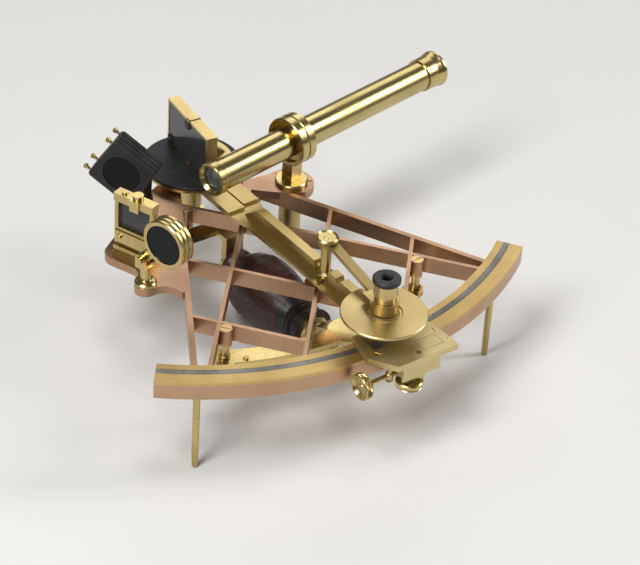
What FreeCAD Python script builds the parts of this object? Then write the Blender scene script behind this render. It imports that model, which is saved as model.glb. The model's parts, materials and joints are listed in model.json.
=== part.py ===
import FreeCAD, Part
import math
import os
import re
import Sketcher
from FreeCAD import Placement, Rotation, Vector

# Nautical sextant, standing on its three legs.
# Origin: the foot of the centre leg, on the axis of the index arm.
# +Z up, -Y from the index axis towards the middle of the graduated limb, +X to the observer's eye.

SIZES = {
    # limb and its scale
    "limb_top": 64.2, "limb_radius": 200.0, "limb_inner": 184.7, "limb_half_angle": 37.3,
    "limb_depth": 10.9, "overlay_thickness": 2.0, "strip_inner": 188.8, "strip_outer": 192.6,
    "strip_depth": 0.4,
    # lattice frame
    "bar_drop": 1.5, "bar_depth": 10.0, "bar_width": 2.2, "radial_width": 3.0,
    "lattice_angle": 39.9, "lattice_first": 35.7, "lattice_pitch": 48.45,
    "radial_angle": 28.3, "radial_offset": 9.0, "plate_thickness": 5.0, "head_radius": 14.0,
    "boss_radius": 3.7, "pillar_radius": 3.1, "pillar_length": 9.5, "screw_radius": 3.2,
    # legs and index bearing
    "leg_radius": 2.0, "leg_azimuth": 30.7, "leg_circle": 190.7, "leg_collar": 3.3,
    "bush_radius": 6.4, "bush_flange": 9.5, "bush_length": 29.0, "spindle_radius": 4.0,
    "running_clearance": 0.06,
    # index arm, its mirror table and vernier
    "arm_azimuth": 2.15, "arm_lift": 1.0, "arm_thickness": 1.8, "arm_disc": 28.2,
    "arm_end": 183.0, "pad_half_width": 11.3, "pad_rise": 1.6, "rib_width": 5.6, "rib_height": 8.7,
    "table_radius": 28.7, "table_thickness": 1.8,
    "vernier_lift": 0.3, "vernier_thickness": 3.7, "vernier_edge": 217.0,
    "post_reach": 131.0, "post_radius": 3.0,
    # index mirror
    "mirror_length": 48.8, "mirror_height": 29.4, "mirror_depth": 6.8, "mirror_normal": 175.4,
    "mirror_face": 3.0, "mirror_rim": 1.4,
    # telescope
    "tube_radius": 9.0, "tube_wall": 0.7, "collar_radius": 14.6, "telescope_height": 28.5,
    "telescope_azimuth": 11.1, "stem_side": 8.0, "socket_radius": 6.5,
    # shades
    "index_shade_azimuth": 218.5, "index_shade_side": 29.6, "index_shade_thickness": 2.8,
    "index_shade_pitch": 3.6, "index_glass_radius": 11.3,
    "horizon_shade_azimuth": 18.0, "horizon_shade_radius": 14.3, "horizon_shade_thickness": 2.8,
    "horizon_shade_pitch": 3.1, "horizon_glass_radius": 11.7,
    # horizon mirror
    "horizon_normal": 23.0, "horizon_width": 26.0, "horizon_top": 38.0,
    # magnifier
    "lens_tube_radius": 6.0, "reflector_radius": 23.7, "eyecap_radius": 7.7,
    # handle
    "handle_drop": 41.0, "handle_skew": 3.4, "grip_radius": 19.8, "grip_start": 46.0, "grip_end": 121.0,
}

doc = FreeCAD.newDocument("sextant")
sheet = doc.addObject("Spreadsheet::Sheet", "Sizes")
for row, (alias, value) in enumerate(SIZES.items(), start=1):
    sheet.set(f"A{row}", alias)
    sheet.set(f"B{row}", str(value))
    sheet.setAlias(f"B{row}", alias)
doc.recompute()

subparts = []
UP = Vector(0, 0, 1)


def size(alias):
    """The number in a cell of the sheet."""
    return float(sheet.get(alias))


LIMB_TOP = size("limb_top")
BAR_TOP = LIMB_TOP - size("bar_drop")
BAR_BOTTOM = BAR_TOP - size("bar_depth")
PLATE_BOTTOM = BAR_TOP - size("plate_thickness")


def expression(text):
    """Write the sheet's name before each alias in a formula."""
    return re.sub(r"[a-z_]{4,}", lambda word: "Sizes." + word.group(0) if word.group(0) in SIZES
                  else word.group(0), str(text))


def bind(obj, **formulas):
    """Bind each named property to a formula of the sheet's cells."""
    for name, text in formulas.items():
        obj.setExpression(name, expression(text))
    return obj


def turned_about_z(angle, x=0.0, y=0.0, z=0.0):
    """A level frame, turned about the vertical."""
    return Placement(Vector(x, y, z), Rotation(UP, angle))


def upright(azimuth, x, y, z):
    """A frame whose Z lies level along the azimuth, with its Y up and its X to the left."""
    return Placement(Vector(x, y, z), Rotation(UP, azimuth) * Rotation(Vector(1, 1, 1), 120))


ARM = turned_about_z(size("arm_azimuth"))


def keep(obj, label, placement=None):
    """Name a sub-part, which is then written out under that name."""
    obj.Label = label
    if placement is not None:
        obj.Placement = placement * obj.Placement
    subparts.append(obj)
    return obj


# Primitives and booleans. Sizes are formulas; places are plain numbers in the piece's own frame.

def cylinder(radius, height, at=(0, 0, 0), rotation=None, angle=None):
    solid = doc.addObject("Part::Cylinder", "Cylinder")
    bind(solid, Radius=radius, Height=height)
    if angle is not None:
        bind(solid, Angle=angle)
    solid.Placement = Placement(Vector(*at), rotation or Rotation())
    return solid


def box(length, width, height, at=(0, 0, 0), rotation=None):
    """A box whose least corner is at the given point before it is turned about that point."""
    solid = doc.addObject("Part::Box", "Box")
    bind(solid, Length=length, Width=width, Height=height)
    solid.Placement = Placement(Vector(*at), rotation or Rotation())
    return solid


def span_box(low, high):
    """A box between two corners given as plain numbers."""
    return box(high[0] - low[0], high[1] - low[1], high[2] - low[2], low)


def fuse(*shapes):
    joined = doc.addObject("Part::MultiFuse", "Fusion")
    joined.Shapes = list(shapes)
    joined.Refine = True
    return joined


def cut(base, *tools):
    rest = doc.addObject("Part::Cut", "Cut")
    rest.Base = base
    rest.Tool = tools[0] if len(tools) == 1 else fuse(*tools)
    rest.Refine = True
    return rest


def common(first, second):
    shared = doc.addObject("Part::Common", "Common")
    shared.Base = first
    shared.Tool = second
    return shared


def group(*shapes):
    """Separate solids that share one node, such as a set of like screws."""
    together = doc.addObject("Part::Compound", "Group")
    together.Links = list(shapes)
    return together


def sector(inner, outer, half_angle, bottom, height):
    """A flat ring sector about the index axis, centred on -Y."""
    turn = Rotation(UP, -90 - half_angle)
    sweep = f"2 * {half_angle}"
    return cut(cylinder(outer, height, (0, 0, bottom), turn, sweep),
               cylinder(inner, height, (0, 0, bottom)))


# Sketched bodies.

def body_plane(body, role):
    return [plane for plane in body.Origin.OriginFeatures if plane.Role == role][0]


def new_sketch(body, role):
    sketch = body.newObject("Sketcher::SketchObject", "Sketch")
    sketch.AttachmentSupport = [(body_plane(body, role), "")]
    sketch.MapMode = "FlatFace"
    return sketch


def draw(sketch, outline):
    """Draw a closed outline: (x, y) is a line's end, (xm, ym, x, y) an arc's middle and end."""
    def point(item):
        return Vector(item[-2], item[-1], 0)
    first = len(sketch.Geometry)
    for before, item in zip([outline[-1]] + outline[:-1], outline):
        if len(item) == 4:
            arc = Part.Arc(point(before), Vector(item[0], item[1], 0), point(item))
            sketch.addGeometry(arc, False)
        else:
            sketch.addGeometry(Part.LineSegment(point(before), point(item)), False)
    return range(first, len(sketch.Geometry))


def value(formula):
    """The number that a formula of the sheet's cells gives."""
    text = re.sub(r"[a-z_]{4,}", lambda word: str(size(word.group(0))), str(formula))
    return FreeCAD.Units.Quantity(text).Value


def turned(profile):
    """A body turned about its own Z from a closed profile of (radius, height) formulas."""
    body = doc.addObject("PartDesign::Body", "Body")
    sketch = new_sketch(body, "XZ_Plane")
    points = [(value(radius), value(height)) for radius, height in profile]
    count = len(points)
    for index in range(count):
        start = Vector(*points[index], 0)
        end = Vector(*points[(index + 1) % count], 0)
        sketch.addGeometry(Part.LineSegment(start, end), False)
    for index in range(count):
        sketch.addConstraint(Sketcher.Constraint("Coincident", index, 2, (index + 1) % count, 1))
    for index, (radius, height) in enumerate(profile):
        for kind, axis, formula, number in (("DistanceX", -2, radius, points[index][0]),
                                            ("DistanceY", -1, height, points[index][1])):
            if abs(number) < 1e-9:
                sketch.addConstraint(Sketcher.Constraint("PointOnObject", index, 1, axis))
                continue
            place = sketch.addConstraint(Sketcher.Constraint(kind, -1, 1, index, 1, number))
            sketch.setExpression(f"Constraints[{place}]", expression(formula))
    turn = body.newObject("PartDesign::Revolution", "Revolution")
    turn.Profile = sketch
    turn.ReferenceAxis = (sketch, ["V_Axis"])
    turn.Angle = 360
    body.Tip = turn
    return body


def padded(outline, height, holes=(), bottom=0.0, role="XY_Plane", both_ways=False):
    """A body padded from a flat outline, with round holes given as (x, y, radius)."""
    body = doc.addObject("PartDesign::Body", "Body")
    add_pad(body, outline, height, holes, bottom, role, both_ways)
    return body


def add_pad(body, outline, height, holes=(), bottom=0.0, role="XY_Plane", both_ways=False):
    sketch = new_sketch(body, role)
    sketch.AttachmentOffset = Placement(Vector(0, 0, bottom), Rotation())
    draw(sketch, outline)
    for x, y, radius in holes:
        sketch.addGeometry(Part.Circle(Vector(x, y, 0), UP, radius), False)
    pad = body.newObject("PartDesign::Pad", "Pad")
    pad.Profile = sketch
    bind(pad, Length=height)
    pad.Midplane = both_ways
    body.Tip = pad
    return pad


def rectangle(x_low, y_low, x_high, y_high):
    return [(x_low, y_low), (x_high, y_low), (x_high, y_high), (x_low, y_high)]


def slotted_screw(radius, head_height, shank_radius, shank_length, at, turn=0.0):
    """A cheese-head screw with its head on top and a driver slot across it."""
    x, y, z = at
    head = cylinder(radius, head_height, (x, y, z))
    slot = box(2 * value(radius) + 1, 0.7, value(head_height) * 0.5)
    across = Rotation(UP, turn)
    corner = across.multVec(Vector(-value(radius) - 0.5, -0.35, 0))
    slot.Placement = Placement(Vector(x, y, z + value(head_height) * 0.6) + corner, across)
    shank = cylinder(shank_radius, shank_length, (x, y, z - value(shank_length)))
    return fuse(cut(head, slot), shank)


# ---------------------------------------------------------------- lattice frame

def level(angle):
    """A unit vector in the plane of the frame, from -Y towards +X."""
    turn = math.radians(angle)
    return Vector(math.sin(turn), -math.cos(turn), 0)


def meeting(normal_a, offset_a, normal_b, offset_b):
    """The point where two lines, each given by its normal and its distance, cross."""
    det = normal_a.x * normal_b.y - normal_a.y * normal_b.x
    return Vector((offset_a * normal_b.y - offset_b * normal_a.y) / det,
                  (offset_b * normal_a.x - offset_a * normal_b.x) / det, 0)


def bar(start, end, width):
    """An upright frame bar between two points on its centre line."""
    run = end - start
    turn = Rotation(UP, math.degrees(math.atan2(run.y, run.x)))
    side = turn.multVec(Vector(0, -value(width) / 2, 0))
    return box(run.Length, width, "bar_depth", (start.x + side.x, start.y + side.y, BAR_BOTTOM), turn)


def mirror_x(vector, side):
    return Vector(vector.x * side, vector.y, vector.z)


LATTICE_RUN = level(size("lattice_angle"))
LATTICE_NORMAL = Vector(LATTICE_RUN.y, -LATTICE_RUN.x, 0)
RADIAL_RUN = level(-size("radial_angle"))
RADIAL_NORMAL = Vector(RADIAL_RUN.y, -RADIAL_RUN.x, 0)
LATTICE_OFFSETS = [size("lattice_first") + step * size("lattice_pitch") for step in range(3)]


def radial_ends(side):
    start = RADIAL_NORMAL * size("radial_offset") + RADIAL_RUN * 4.0
    end = RADIAL_NORMAL * size("radial_offset") + RADIAL_RUN * (size("limb_inner") + 1)
    return mirror_x(start, side), mirror_x(end, side)


def lattice_ends(index, side):
    """One lattice bar: from the radial bar on its own side to the limb, or to the next bar."""
    offset = LATTICE_OFFSETS[index]
    start = meeting(RADIAL_NORMAL, size("radial_offset"), LATTICE_NORMAL, offset)
    if index == 2:
        other = mirror_x(LATTICE_NORMAL, -1)
        end = meeting(LATTICE_NORMAL, offset, other, LATTICE_OFFSETS[1])
    else:
        reach = math.sqrt(size("limb_inner") ** 2 - offset ** 2) + 2.0
        end = LATTICE_NORMAL * offset + LATTICE_RUN * reach
    return mirror_x(start, side), mirror_x(end, side)


def inside_limb():
    return cylinder("limb_inner", "bar_depth", (0, 0, BAR_BOTTOM))


def make_radial_bars():
    bars = [common(bar(*radial_ends(side), "radial_width"), inside_limb()) for side in (1, -1)]
    keep(group(*bars), "frame_radial_bars")


def all_bars(side, indexes=(0, 1, 2)):
    return [bar(*lattice_ends(index, side), "bar_width") for index in indexes]


def make_lattice_bars():
    radials = fuse(*[bar(*radial_ends(side), "radial_width") for side in (1, -1)])
    left = common(cut(fuse(*all_bars(-1)), radials), inside_limb())
    crossing = common(cut(fuse(*all_bars(1)), radials, fuse(*all_bars(-1))), inside_limb())
    keep(group(left, crossing), "frame_lattice_bars")


def plate(outline, holes):
    """A thin plate of the frame, level with the bars and let in between them."""
    blank = padded(outline, "plate_thickness", holes, PLATE_BOTTOM)
    bars = [bar(*radial_ends(side), "radial_width") for side in (1, -1)]
    return cut(blank, *bars, *all_bars(1, (0, 1)), *all_bars(-1, (0, 1)))


def make_plates():
    head = size("head_radius")
    head_disc = plate([(-head, 0, 0, head), (head, 0, 0, -head)], [(0, 0, size("bush_radius"))])
    left_side = radial_ends(1)[0]
    low = left_side + RADIAL_RUN * 114.0
    high = left_side + RADIAL_RUN * 6.5
    post = HORIZON_POST
    horizon_outline = [
        (high.x, high.y), (-20.0, -1.0), (-39.6, -10.8), (-57.6, -24.8), (-73.0, -36.0),
        (-83.4, -43.5), (-85.2, -48.5, -84.0, -54.0), (-79.0, -65.0),
        (-78.6, -71.6, post.x - 3.6, post.y + 5.0),
        (post.x - 6.3, post.y - 1.6, post.x - 1.6, post.y - 6.3), (post.x + 3.4, post.y - 6.2),
        (-70.4, -90.8, -66.8, -98.6), (low.x, low.y)]
    horizon_plate = plate(horizon_outline, [])
    stem = STEM
    telescope_outline = [
        (18.6, -33.5), (17.6, -28.0, 22.0, -24.6), (stem.x - 5.0, stem.y + 13.0),
        (stem.x + 9.4, stem.y + 9.4, stem.x + 13.2, stem.y - 1.0),
        (stem.x + 9.6, stem.y - 9.2, stem.x + 1.0, stem.y - 13.4)]
    telescope_outline += [(30.0, -43.0)]
    telescope_plate = plate(telescope_outline, [(stem.x, stem.y, size("socket_radius"))])
    keep(group(head_disc, cut(horizon_plate, head_disc), telescope_plate), "frame_plates")


STEM = Vector(44.0, -38.6, 0)
HORIZON_POST = Vector(-79.7, -81.6, 0)
UPPER_BOSS = Vector(23.7, -31.6, 0)
LOWER_BOSS = Vector(63.3, -137.6, 0)
MIDDLE_BOSS = Vector(0.0, -125.4, 0)


def boss_places():
    return [mirror_x(UPPER_BOSS, -1), UPPER_BOSS, mirror_x(LOWER_BOSS, -1), LOWER_BOSS, MIDDLE_BOSS]


def make_bosses():
    """Round bosses in the corners of the lattice, which take the pillars below and screws above."""
    bars = [bar(*radial_ends(side), "radial_width") for side in (1, -1)]
    bars += all_bars(1) + all_bars(-1)
    plates = [obj for obj in subparts if obj.Label == "frame_plates"]
    bosses = [cylinder("boss_radius", "bar_depth", (p.x, p.y, BAR_BOTTOM)) for p in boss_places()]
    bored = cut(fuse(*bosses), *bars, *plates,
                *[cylinder(1.6, "bar_depth", (p.x, p.y, BAR_BOTTOM)) for p in boss_places()],
                *[cylinder("screw_radius", 1.4, (p.x, p.y, BAR_TOP - 1.4)) for p in boss_places()])
    keep(bored, "frame_bosses")
    screws = [slotted_screw("screw_radius", 1.4, 1.6, 8.0, (p.x, p.y, BAR_TOP - 1.4), 35 + 50 * n)
              for n, p in enumerate(boss_places())]
    keep(cut(group(*screws), fuse(*bars), *plates), "frame_screws")


def make_pillars():
    """Brass pillars under the bosses, with a neck and a foot collar, which hold the handle straps."""
    profile = [(0, 0), ("pillar_radius", 0), ("pillar_radius", 1.2), ("pillar_radius - 0.7", 1.8),
               ("pillar_radius - 0.7", "pillar_length - 2"), ("pillar_radius + 0.5", "pillar_length - 1.2"),
               ("pillar_radius + 0.5", "pillar_length"), (0, "pillar_length")]
    bottom = BAR_BOTTOM - size("pillar_length")
    pillars = []
    for place in boss_places()[:4]:
        pillar = turned(profile)
        pillar.Placement = Placement(Vector(place.x, place.y, bottom), Rotation())
        pillars.append(pillar)
    keep(group(*pillars), "handle_pillars")


# ---------------------------------------------------------------- limb, scale and legs

def make_limb():
    half = size("limb_half_angle")
    overlay_bottom = LIMB_TOP - size("overlay_thickness")
    keep(sector("limb_inner", "limb_radius", half, LIMB_TOP - size("limb_depth"),
                "limb_depth - overlay_thickness"), "limb")
    groove = sector("strip_inner", "strip_outer", half, LIMB_TOP - size("strip_depth"), "strip_depth")
    cover = sector("limb_inner", "limb_radius", half, overlay_bottom, "overlay_thickness")
    keep(cut(cover, groove), "limb_overlay")
    keep(sector("strip_inner", "strip_outer", half, LIMB_TOP - size("strip_depth"),
                "strip_depth - 0.05"), "scale_strip")


def make_limb_legs():
    """Two slender legs under the limb, each with a collar where it screws in."""
    length = "limb_top - limb_depth"
    profile = [(0, 0), ("leg_radius - 0.7", 0), ("leg_radius - 0.3", 0.6), ("leg_radius - 0.1", 12),
               ("leg_radius", "limb_top - limb_depth - 5"), ("leg_collar", "limb_top - limb_depth - 3.5"),
               ("leg_collar", length), (0, length)]
    legs = []
    for side in (-1, 1):
        leg = turned(profile)
        spot = level(side * size("leg_azimuth")) * size("leg_circle")
        leg.Placement = Placement(spot, Rotation())
        legs.append(leg)
    return legs


def make_index_bearing():
    """The long bush in the frame's head, its cap with the third leg, and the spindle inside it."""
    top = BAR_TOP + 2.0
    bottom = top - size("bush_length")
    clearance = "spindle_radius + running_clearance"
    profile = [(clearance, 0), ("bush_radius - 0.6", 0), ("bush_radius - 0.6", 3), ("bush_radius", 3.6),
               ("bush_radius", "bush_length - 2"), ("bush_flange", "bush_length - 2"),
               ("bush_flange", "bush_length"), (clearance, "bush_length")]
    keep(turned(profile), "index_bush", Placement(Vector(0, 0, bottom), Rotation()))
    cap = [(0, 0), ("leg_radius - 0.7", 0), ("leg_radius - 0.3", 0.6), ("leg_radius", 12),
           ("leg_radius", bottom - 9), ("leg_collar", bottom - 8), ("bush_radius + 1.2", bottom - 5),
           ("bush_radius + 1.2", bottom), (0, bottom)]
    keep(group(turned(cap), *make_limb_legs()), "legs")
    table_top = LIMB_TOP + size("arm_lift") + size("arm_thickness") + size("table_thickness")
    length = table_top - bottom - 0.5
    spindle = [(0, 0), ("spindle_radius", 0), ("spindle_radius", length), (0, length)]
    keep(turned(spindle), "index_spindle", Placement(Vector(0, 0, bottom + 0.5), Rotation()))


# ---------------------------------------------------------------- index arm

arm_screws = []
ARM_BOTTOM = LIMB_TOP + size("arm_lift")
ARM_TOP = ARM_BOTTOM + size("arm_thickness")
RIB_TOP = ARM_TOP + size("rib_height")


def make_index_arm():
    """Round head, two raised pads with a slot between them, flat flanges and an upright rib."""
    disc = size("arm_disc")
    pad_half = size("pad_half_width")
    neck = math.sqrt(disc ** 2 - pad_half ** 2)
    end = size("arm_end")
    plan = [(pad_half, -neck), (0, disc, -pad_half, -neck), (-pad_half, -54.0), (-8.4, -68.0),
            (-6.6, -end), (6.6, -end), (8.4, -66.0), (pad_half, -52.0)]
    arm = padded(plan, "arm_thickness", [(0, 0, size("spindle_radius"))], ARM_BOTTOM)
    add_pad(arm, rectangle(-pad_half, -54.0, -0.1, -29.2), "pad_rise", bottom=ARM_TOP)
    add_pad(arm, rectangle(1.1, -51.2, pad_half, -29.2), "pad_rise", bottom=ARM_TOP)
    low_gap = ARM_TOP + 2.2
    side = [(-58.0, ARM_TOP), (-70.0, RIB_TOP), (-124.5, RIB_TOP), (-126.0, low_gap), (-136.0, low_gap),
            (-137.6, RIB_TOP), (-144.0, RIB_TOP), (-145.0, RIB_TOP - 2.4), (-147.0, RIB_TOP - 2.4),
            (-148.0, RIB_TOP), (-168.0, RIB_TOP), (-end, ARM_TOP + 3.0), (-end, ARM_TOP)]
    add_pad(arm, side, "rib_width", role="YZ_Plane", both_ways=True)
    post_hole = cylinder("post_radius - 1", 20, (0, -size("post_reach"), ARM_BOTTOM))
    keep(cut(arm, post_hole), "index_arm", ARM)


def make_mirror_table():
    profile = [("spindle_radius", 0), ("table_radius - 0.3", 0), ("table_radius", 0.3),
               ("table_radius", "table_thickness - 0.3"), ("table_radius - 0.3", "table_thickness"),
               ("spindle_radius", "table_thickness")]
    keep(turned(profile), "mirror_table", Placement(Vector(0, 0, ARM_TOP), Rotation()))


TABLE_TOP = ARM_TOP + size("table_thickness")
MIRROR = upright(size("mirror_normal"), 0, 0, TABLE_TOP)


def make_index_mirror():
    """A brass tray holds the glass; its back stands on a half-round flange with two screws."""
    left = -25.6
    right = left + size("mirror_length")
    face = size("mirror_face")
    back = face - size("mirror_depth")
    rim = size("mirror_rim")
    tall = size("mirror_height")
    glass = 2.4
    tray = box("mirror_length", "mirror_height", "mirror_depth", (left, 0, back))
    recess = box("mirror_length - 2 * mirror_rim", "mirror_height - 2 * mirror_rim", glass,
                 (left + rim, rim, face - glass))
    hollow = box("mirror_length - 12", "mirror_height - 12", 2.0, (left + 6, 6, back))
    seam = span_box((-1.6, tall - 0.3, back), (-1.3, tall, face))
    keep(cut(tray, recess, hollow, seam), "index_mirror_tray", MIRROR)
    pane = box("mirror_length - 2 * mirror_rim", "mirror_height - 2 * mirror_rim", glass - 0.3,
               (left + rim, rim, face - glass))
    keep(pane, "index_mirror_glass", MIRROR)
    clips = [span_box((x, rim + 0.2, face - 0.3), (x + 5.0, rim + 4.2, face + 0.9))
             for x in (left + rim + 0.3, right - rim - 5.3)]
    clips.append(span_box((-3.0, tall - rim - 4.4, face - 0.3), (1.6, tall - rim - 0.2, face + 0.9)))
    keep(group(*clips), "index_mirror_clips", MIRROR)

    flange_radius = 24.0
    upwards = Rotation(Vector(1, 0, 0), -90)
    half_disc = cut(cylinder(flange_radius, 2.0, (0, 0, 0), upwards),
                    span_box((-30, -1, back), (30, 3, 30)))
    web = padded([(-back, 2.0), (-back, 18.0), (3.0 - back, 18.0), (5.0 - back, 12.0),
                  (17.0 - back, 2.0)], 4.0, both_ways=True)
    web.Placement = Placement(Vector(0, 0, 0), Rotation(Vector(0, 1, 0), 90))
    spots = [(x, back - 9.0) for x in (-13.0, 13.0)]
    holes = [cylinder(1.2, 4.0, (x, 0, z), upwards) for x, z in spots]
    spindle_hole = cylinder("spindle_radius + 0.1", 3.0, (0, -0.5, 0), upwards)
    keep(cut(fuse(half_disc, web), spindle_hole, *holes), "mirror_bracket", MIRROR)
    for x, z in spots:
        screw = slotted_screw(2.6, 1.8, 1.2, 2.0, (0, 0, 0), 30)
        screw.Placement = MIRROR * Placement(Vector(x, 2.0, z), upwards)
        arm_screws.append(screw)


# ---------------------------------------------------------------- vernier, clamp and tangent screw

TANGENT_REACH = 208.3
TANGENT_HEIGHT = LIMB_TOP - 8.0
BEARING_SIDE = -13.2
CLAMP_SCREW = (-1.3, -211.0)
TANGENT_ROD = 1.3


def make_vernier():
    """The plate that rides on the limb, with a window over the scale and a box hung outside it."""
    edge = size("vernier_edge")
    bottom = LIMB_TOP + size("vernier_lift")
    plan = [(-19.6, -size("arm_end")), (19.6, -size("arm_end")), (24.0, -197.0), (24.6, -edge - 1.2),
            (-14.4, -edge), (-24.4, -202.6), (-20.6, -185.5)]
    blank = padded(plan, "vernier_thickness", bottom=bottom)
    window = span_box((-16.6, -199.0, bottom - 1), (4.6, -187.4, bottom + 6))
    case = span_box((-10.6, -edge + 1.0, LIMB_TOP - 5.0), (19.0, -201.0, bottom))
    corner = padded([(20, -edge - 3), (20, -edge + 8), (12, -edge - 3)], 9,
                    bottom=LIMB_TOP - 9.0)
    spots = [(2.3, -212.5), (21.6, -211.9), (20.6, -201.7), (-17.0, -201.6)]
    holes = [cylinder(0.9, 3, (x, y, bottom + 1.5)) for x, y in spots]
    sinks = [cylinder(1.7, 2, (x, y, bottom + 2.9)) for x, y in spots]
    apron = span_box((-10.6, -edge + 0.2, LIMB_TOP - 8.6), (19.0, -215.3, bottom))
    whole = cut(fuse(blank, case, apron), window, corner, *holes, *sinks)
    keep(whole, "vernier_frame", ARM)
    for n, (x, y) in enumerate(spots):
        screw = slotted_screw(1.7, 0.75, 0.9, 1.4, (0, 0, 0), 40 * n)
        screw.Placement = ARM * Placement(Vector(x, y, bottom + 2.9), Rotation())
        arm_screws.append(screw)
    scale = sector(192.9, 198.2, 2.9, bottom, 0.7)
    keep(scale, "vernier_scale", turned_about_z(size("arm_azimuth") - 1.75))
    pin_bottom = LIMB_TOP - 12.6
    pin_height = bottom - pin_bottom
    pivot = [(0, 0), (1.1, 0.2), (1.9, 0.9), (2.2, 1.8), (1.9, 2.6), (1.7, 2.9), (2.2, 3.1), (2.2, 6.1),
             (1.5, 6.7), (1.5, 9.0), (2.1, 9.5), (2.4, 10.4), (2.2, 11.3), (2.4, 11.8),
             (2.4, pin_height), (0, pin_height)]
    pin = turned(pivot)
    pin.Placement = Placement(Vector(BEARING_SIDE, -TANGENT_REACH, pin_bottom), Rotation())
    bore = cylinder(TANGENT_ROD + 0.05, 10, (BEARING_SIDE - 5, -TANGENT_REACH, TANGENT_HEIGHT),
                    Rotation(Vector(0, 1, 0), 90))
    pivot_pin = cut(pin, bore)
    pivot_pin.Placement = ARM
    keep(group(pivot_pin, *arm_screws), "index_arm_fittings")


def make_clamp():
    """The clamp block with its jaw under the limb, its screw, and the tangent screw it is fed by."""
    jaw_bottom = LIMB_TOP - 12.9
    block = span_box((-6.0, -214.8, LIMB_TOP - 11.1), (6.0, -201.2, LIMB_TOP - 5.2))
    jaw = span_box((-6.0, -214.8, jaw_bottom), (6.0, -196.4, LIMB_TOP - 11.1))
    feed = cylinder(TANGENT_ROD + 0.1, 7.0, (-6.5, -TANGENT_REACH, TANGENT_HEIGHT),
                    Rotation(Vector(0, 1, 0), 90))
    x, y = CLAMP_SCREW
    thread = cylinder(1.65, 4.0, (x, y, jaw_bottom - 0.1))
    keep(cut(fuse(block, jaw), feed, thread), "clamp_block", ARM)

    knob = knurled_knob(7.7, 4.6, 1.6, 3.4)
    keep(knob, "clamp_screw", ARM * Placement(Vector(x, y, jaw_bottom - 0.1 - 4.6), Rotation()))
    tangent = knurled_knob(7.6, 5.4, TANGENT_ROD, 24.4)
    start = Vector(-33.6, -TANGENT_REACH, TANGENT_HEIGHT)
    keep(tangent, "tangent_screw", ARM * Placement(start, Rotation(Vector(0, 1, 0), 90)))


def knurled_knob(radius, height, rod_radius, rod_length):
    """A dished knob with a milled edge and a rod out of its back, along its own Z."""
    rim = radius - 1.4
    profile = [(0, 1.6), (rod_radius + 1.2, 1.2), (rim - 1.2, 1.8), (rim, 0), (radius, 0.8),
               (radius, height - 1.2), (radius - 0.9, height - 0.4), (rod_radius + 1.8, height),
               (rod_radius, height), (rod_radius, height + rod_length), (0, height + rod_length)]
    return turned(profile)


# ---------------------------------------------------------------- magnifier

LENS_AXIS = Vector(-3.4, -188.0, 0)
LENS_ARM_BOTTOM = LIMB_TOP + 24.6
LENS_ARM_DROP = 4.4


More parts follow.
